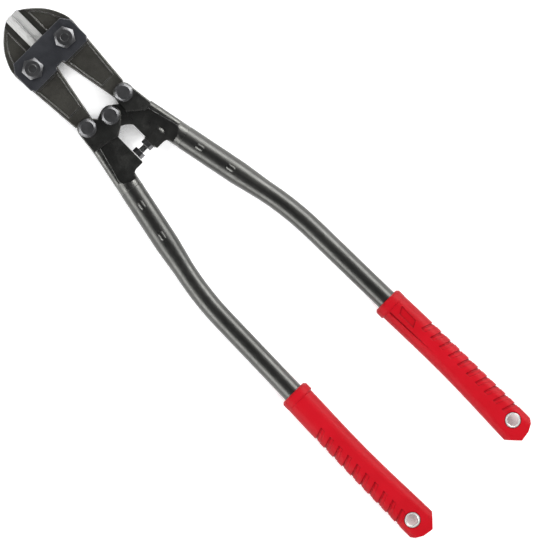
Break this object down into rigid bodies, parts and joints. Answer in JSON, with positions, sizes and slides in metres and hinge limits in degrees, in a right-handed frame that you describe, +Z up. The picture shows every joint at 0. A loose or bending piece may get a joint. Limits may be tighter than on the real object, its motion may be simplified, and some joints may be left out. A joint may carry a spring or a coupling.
{
  "type": "bolt cutters",
  "caption": "Bolt cutters whose bent tubular handles close forged cutting jaws through a toggle linkage, with ribbed grips and an adjustable stop screw.",
  "frame": {"origin": "centre of the bounding box, on the floor that the tool lies on", "axes": "+X along the tool from the grips to the jaw tips, +Y towards the user's left handle, +Z up"},
  "size_m": [0.6054, 0.155, 0.0414],
  "materials": {
    "jaw_steel": "forged and blackened, edges ground bright",
    "fork_steel": "forged, satin black",
    "plate_steel": "blued, smooth satin",
    "black_fastener": "black oxide, bright corners",
    "stop_steel": "black oxide",
    "tube_paint": "satin dark grey",
    "grip_red": "soft semi-gloss",
    "eyelet_nickel": "nickel plated"
  },
  "bodies": {
    "head": {"link_plate_top": "plate_steel", "link_plate_bottom": "plate_steel", "link_bolt_left": "black_fastener", "link_bolt_right": "black_fastener", "link_nut_left": "black_fastener", "link_nut_right": "black_fastener"},
    "left_jaw": {"left_jaw": "jaw_steel"},
    "right_jaw": {"right_jaw": "jaw_steel"},
    "left_handle": {"left_fork": "fork_steel", "left_tube": "tube_paint", "left_grip": "grip_red", "left_eyelet": "eyelet_nickel", "left_toggle_bolt": "black_fastener", "left_toggle_washer": "black_fastener", "left_toggle_spring_washer": "black_fastener", "left_toggle_lower_washer": "black_fastener", "left_toggle_nut": "black_fastener", "centre_bolt": "black_fastener", "centre_washer": "black_fastener", "centre_spring_washer": "black_fastener", "centre_lower_washer": "black_fastener", "centre_nut": "black_fastener"},
    "right_handle": {"right_fork": "fork_steel", "right_tube": "tube_paint", "right_grip": "grip_red", "right_eyelet": "eyelet_nickel", "right_toggle_bolt": "black_fastener", "right_toggle_washer": "black_fastener", "right_toggle_spring_washer": "black_fastener", "right_toggle_lower_washer": "black_fastener", "right_toggle_nut": "black_fastener", "stop_lock_nut": "stop_steel"},
    "stop_screw": {"stop_screw": "stop_steel"}
  },
  "joints": [
    {"name": "right_jaw_hinge", "type": "hinge", "parent": "head", "child": "right_jaw", "pos_m": [0.25355, -0.0205, 0.0204], "axis": [0, 0, 1], "range_deg": [-9, 0]},
    {"name": "left_jaw_hinge", "type": "hinge", "parent": "head", "child": "left_jaw", "pos_m": [0.25355, 0.0205, 0.0204], "axis": [0, 0, 1], "range_deg": [0, 9]},
    {"name": "right_handle_fold", "type": "hinge", "parent": "right_jaw", "child": "right_handle", "pos_m": [0.17975, -0.0232, 0.0204], "axis": [0, 0, 1], "range_deg": [0, 57]},
    {"name": "left_handle_fold", "type": "hinge", "parent": "left_jaw", "child": "left_handle", "pos_m": [0.17975, 0.0232, 0.0204], "axis": [0, 0, 1], "range_deg": [-57, 0]},
    {"name": "stop_screw_travel", "type": "slide", "parent": "right_handle", "child": "stop_screw", "axis": [0, -1, 0], "range_m": [0, 0.003]}
  ],
  "couplings": [
    {"joint": "right_jaw_hinge", "follows": "right_handle_fold", "ratio": -0.15789},
    {"joint": "left_jaw_hinge", "follows": "right_handle_fold", "ratio": 0.15789},
    {"joint": "left_handle_fold", "follows": "right_handle_fold", "ratio": -1}
  ]
}
